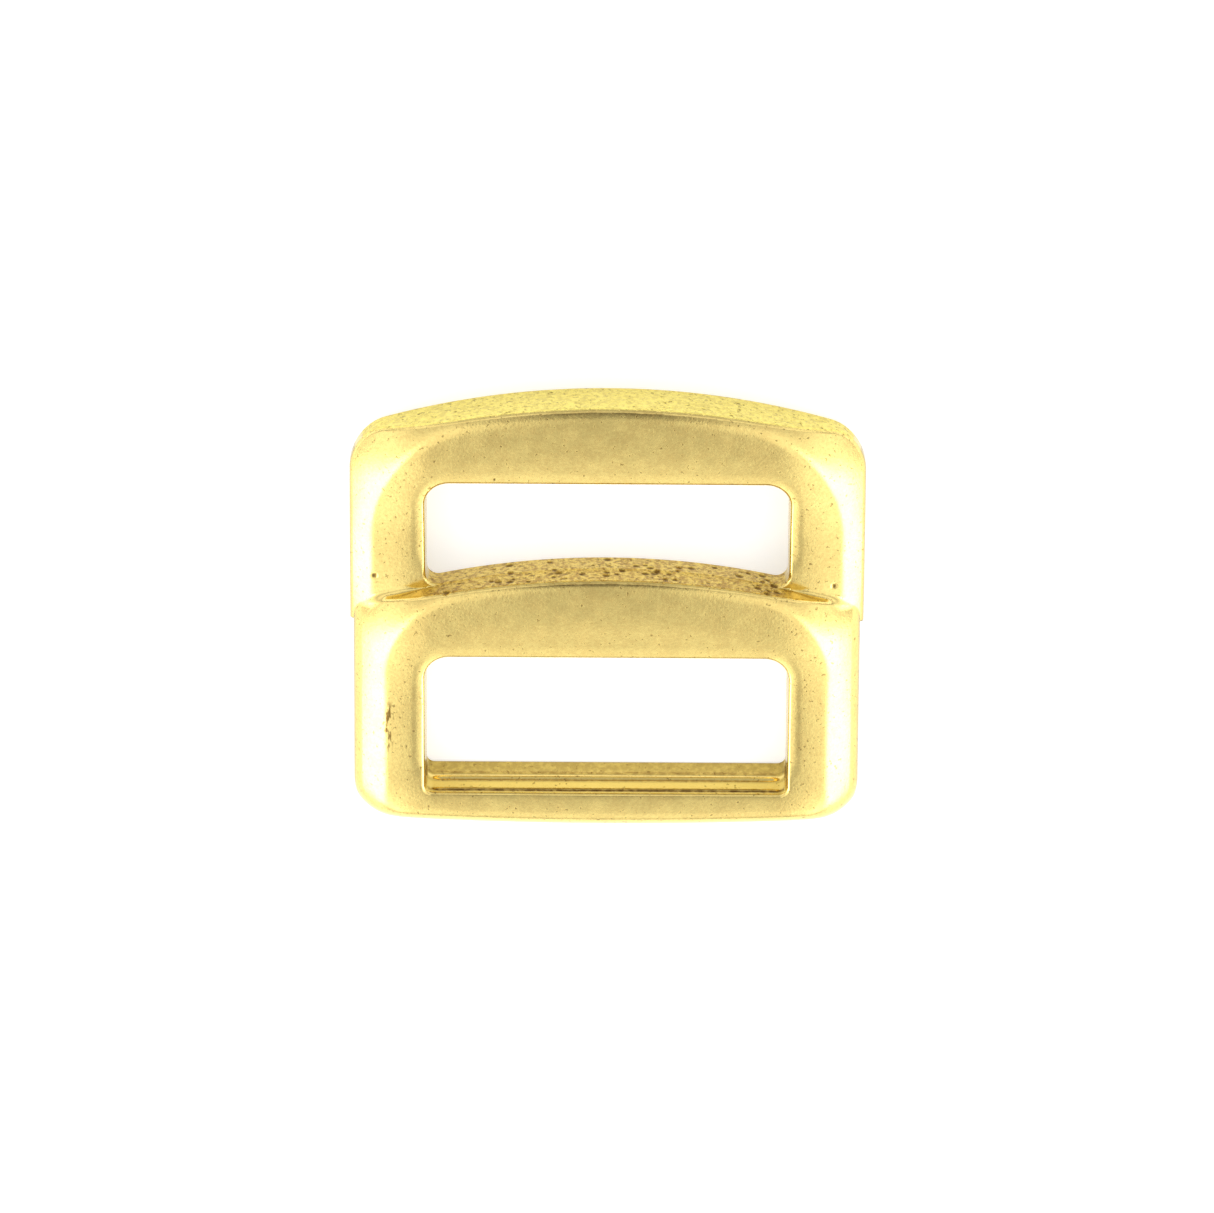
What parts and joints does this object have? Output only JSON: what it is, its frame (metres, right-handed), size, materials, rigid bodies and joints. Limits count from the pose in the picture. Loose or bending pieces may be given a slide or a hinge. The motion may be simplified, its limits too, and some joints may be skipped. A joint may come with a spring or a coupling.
{
  "type": "two-slot buckle slider",
  "caption": "Polished cast brass slider with two overlapping arched tiers and two straight slots, for setting the length of a flat strap.",
  "frame": {"origin": "centre of the bounding box's bottom face, on the flat back", "axes": "+Z out of the polished front, +Y towards the arched top edge, +X along the slots"},
  "size_m": [0.037, 0.033, 0.0049],
  "materials": {
    "polished_brass": "polished"
  },
  "bodies": {
    "root": {"top_bar": "polished_brass", "upper_left_rail": "polished_brass", "upper_right_rail": "polished_brass", "centre_bar": "polished_brass", "lower_left_rail": "polished_brass", "lower_right_rail": "polished_brass", "bottom_bar": "polished_brass"}
  },
  "joints": []
}
